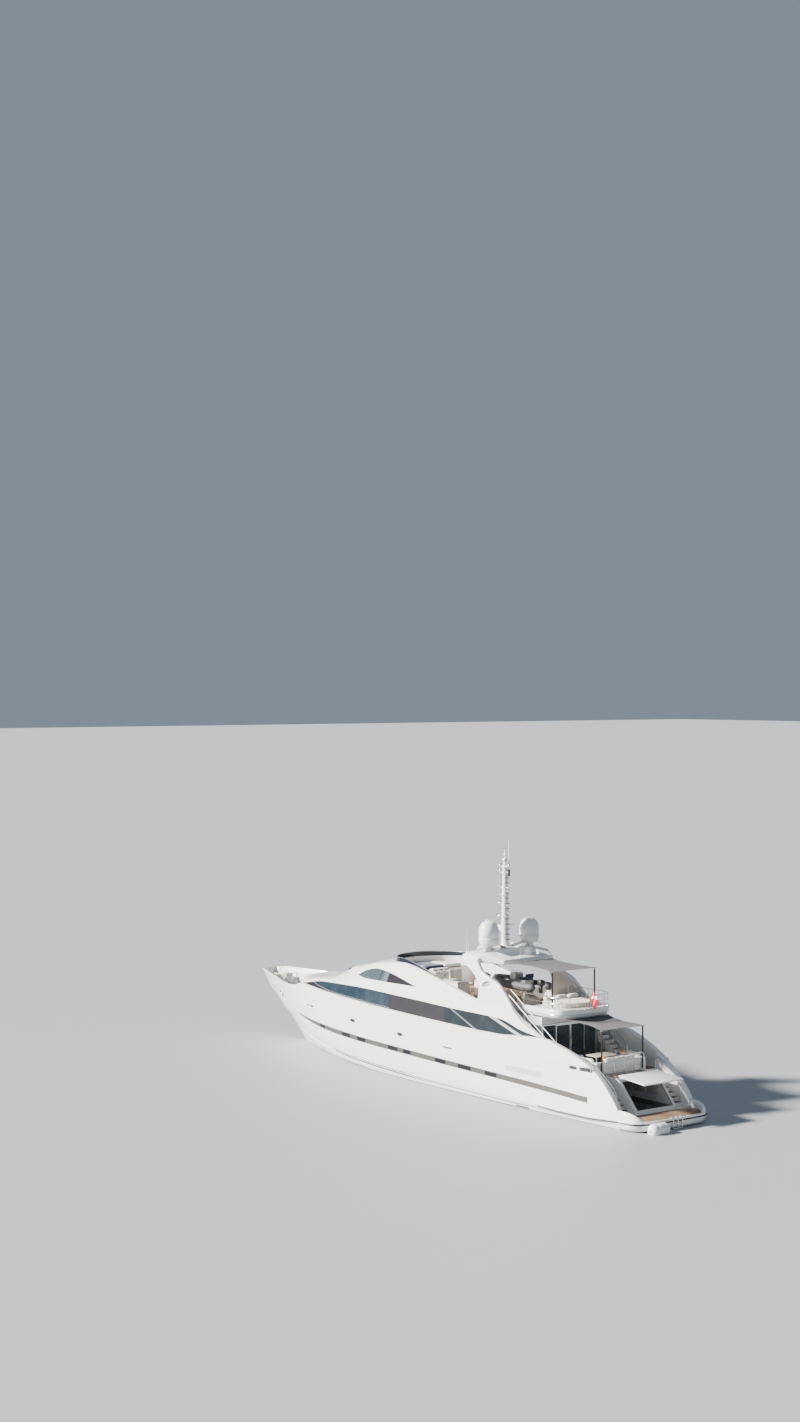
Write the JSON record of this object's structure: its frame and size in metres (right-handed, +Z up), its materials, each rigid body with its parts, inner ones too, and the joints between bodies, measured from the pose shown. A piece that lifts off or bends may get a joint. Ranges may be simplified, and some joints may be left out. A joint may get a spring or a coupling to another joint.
{
  "type": "motor yacht",
  "caption": "Three-deck fast motor yacht afloat: hollow deckhouse with tinted glass, radar arch and mast, open garage door, running gear with turning propellers and rudders.",
  "frame": {"origin": "on the waterline, on the centreline, near amidships", "axes": "+X forward to the bow, +Y to port, +Z up"},
  "size_m": [39.037, 6.79, 15.7366],
  "materials": {
    "gelcoat": "glossy warm white gelcoat",
    "tinted_glass": "dark tinted glass",
    "dome_plastic": "satin white plastic",
    "painted_alloy": "white paint",
    "cushion": "cream outdoor upholstery",
    "tender_rubber": "dark grey coated fabric",
    "carbon": "near-black lacquered carbon",
    "awning": "taut grey awning cloth",
    "teak": "bare teak",
    "stainless": "polished stainless steel",
    "fender_vinyl": "white vinyl",
    "ensign_cloth": "red and white bunting",
    "engine_iron": "grey engine paint",
    "bronze": "manganese bronze"
  },
  "bodies": {
    "yacht": {"hull": "gelcoat", "bow": "gelcoat", "topside_port": "gelcoat", "topside_starboard": "gelcoat", "coachroof": "gelcoat", "deckhouse": "gelcoat", "side_glass_port": "tinted_glass", "side_glass_starboard": "tinted_glass", "wheelhouse_glass_port": "tinted_glass", "wheelhouse_glass_starboard": "tinted_glass", "windscreen": "tinted_glass", "fly_windscreen": "tinted_glass", "radar_arch": "gelcoat", "satellite_dome_port": "dome_plastic", "satellite_dome_starboard": "dome_plastic", "mast": "painted_alloy", "aft_fly_deck": "gelcoat", "aft_fly_pad": "cushion", "forward_fly_pad": "cushion", "fly_helm": "gelcoat", "fly_lounge": "cushion", "fly_bar": "gelcoat", "tender": "tender_rubber", "upper_pole_port": "carbon", "upper_pole_starboard": "carbon", "upper_awning": "awning", "lower_pole_port": "carbon", "lower_pole_starboard": "carbon", "lower_awning": "awning", "aft_bulkhead": "tinted_glass", "fly_stair_port": "gelcoat", "fly_stair_starboard": "gelcoat", "cockpit_sofa": "cushion", "cockpit_table": "teak", "cockpit_rail": "stainless", "transom_housing": "gelcoat", "stern_stair_port": "teak", "stern_stair_starboard": "teak", "bathing_platform": "teak", "fender": "fender_vinyl", "ensign_staff": "stainless", "ensign": "ensign_cloth", "bow_staff": "stainless", "foredeck_pad": "cushion", "windlass": "stainless", "engine_port": "engine_iron", "engine_starboard": "engine_iron", "shaft_strut_port": "bronze", "shaft_strut_starboard": "bronze"},
    "propeller_port": {"propeller_port": "bronze"},
    "propeller_starboard": {"propeller_starboard": "bronze"},
    "rudder_port": {"rudder_port": "bronze"},
    "rudder_starboard": {"rudder_starboard": "bronze"},
    "garage_door": {"garage_door": "gelcoat"},
    "saloon_door_port": {"saloon_door_port": "tinted_glass"},
    "saloon_door_starboard": {"saloon_door_starboard": "tinted_glass"},
    "radar_scanner": {"radar_scanner": "dome_plastic"},
    "foredeck_hatch": {"foredeck_hatch": "tinted_glass"}
  },
  "joints": [
    {"name": "propeller_port_spin", "type": "hinge", "parent": "yacht", "child": "propeller_port", "pos_m": [-14.575, 1.2, -1.4125], "axis": [-0.9865, 0, -0.1637], "continuous": true},
    {"name": "propeller_starboard_spin", "type": "hinge", "parent": "yacht", "child": "propeller_starboard", "pos_m": [-14.575, -1.2, -1.4125], "axis": [-0.9865, 0, -0.1637], "continuous": true},
    {"name": "rudder_port_turn", "type": "hinge", "parent": "yacht", "child": "rudder_port", "pos_m": [-15.75, 1.2, -1.2], "axis": [0, 0, 1], "range_deg": [-35, 35]},
    {"name": "rudder_starboard_turn", "type": "hinge", "parent": "yacht", "child": "rudder_starboard", "pos_m": [-15.75, -1.2, -1.2], "axis": [0, 0, 1], "range_deg": [-35, 35]},
    {"name": "garage_door_hinge", "type": "hinge", "parent": "yacht", "child": "garage_door", "pos_m": [-16.23, 0, 2.39], "axis": [0, 1, 0], "range_deg": [-43, 0]},
    {"name": "saloon_door_port_slide", "type": "slide", "parent": "yacht", "child": "saloon_door_port", "axis": [0, 1, 0], "range_m": [0, 0.93]},
    {"name": "saloon_door_starboard_slide", "type": "slide", "parent": "yacht", "child": "saloon_door_starboard", "axis": [0, -1, 0], "range_m": [0, 0.93]},
    {"name": "radar_scanner_spin", "type": "hinge", "parent": "yacht", "child": "radar_scanner", "pos_m": [-4.53, 0, 9.26], "axis": [0, 0, 1], "continuous": true},
    {"name": "foredeck_hatch_hinge", "type": "hinge", "parent": "yacht", "child": "foredeck_hatch", "pos_m": [15.045, 0, 3.233], "axis": [0, 1, 0], "range_deg": [0, 80]}
  ],
  "couplings": [
    {"joint": "rudder_starboard_turn", "follows": "rudder_port_turn", "ratio": 1}
  ]
}
